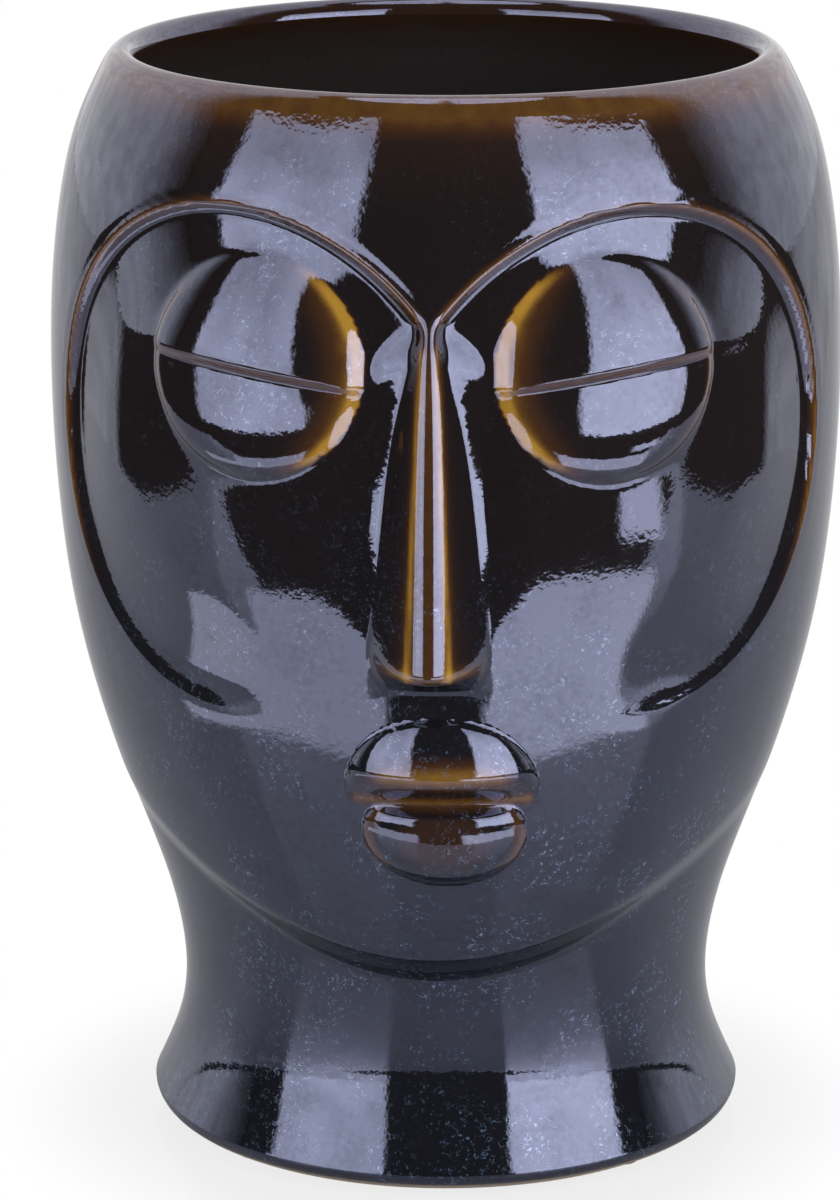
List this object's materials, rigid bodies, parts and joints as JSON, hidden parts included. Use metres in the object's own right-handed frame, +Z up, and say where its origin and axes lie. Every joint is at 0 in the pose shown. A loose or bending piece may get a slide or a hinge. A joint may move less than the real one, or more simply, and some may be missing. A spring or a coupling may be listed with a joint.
{
  "type": "ceramic head planter",
  "caption": "Dark glazed ceramic planter shaped as a stylised head: hollow pot with a heart-shaped mask line, closed eyes, wedge nose and full lips, a drain stopper and felt foot pads.",
  "frame": {"origin": "centre of the bounding box's base, on the surface that the pads stand on", "axes": "+Z up along the pot's turned axis, the face looks along -Y, +X to the right of someone looking at the face"},
  "size_m": [0.1694, 0.1789, 0.2365],
  "materials": {
    "dark_glaze": "high gloss reactive glaze, near black with amber where it thins and blue flecks low down",
    "silicone": "satin",
    "felt": "matt"
  },
  "bodies": {
    "pot": {"pot_shell": "dark_glaze", "foot_pad_front_left": "felt", "foot_pad_front_right": "felt", "foot_pad_back_right": "felt", "foot_pad_back_left": "felt"},
    "stopper": {"drain_stopper": "silicone"}
  },
  "joints": [
    {"name": "stopper_lift", "type": "slide", "parent": "pot", "child": "stopper", "axis": [0, 0, 1], "range_m": [0, 0.25]}
  ]
}
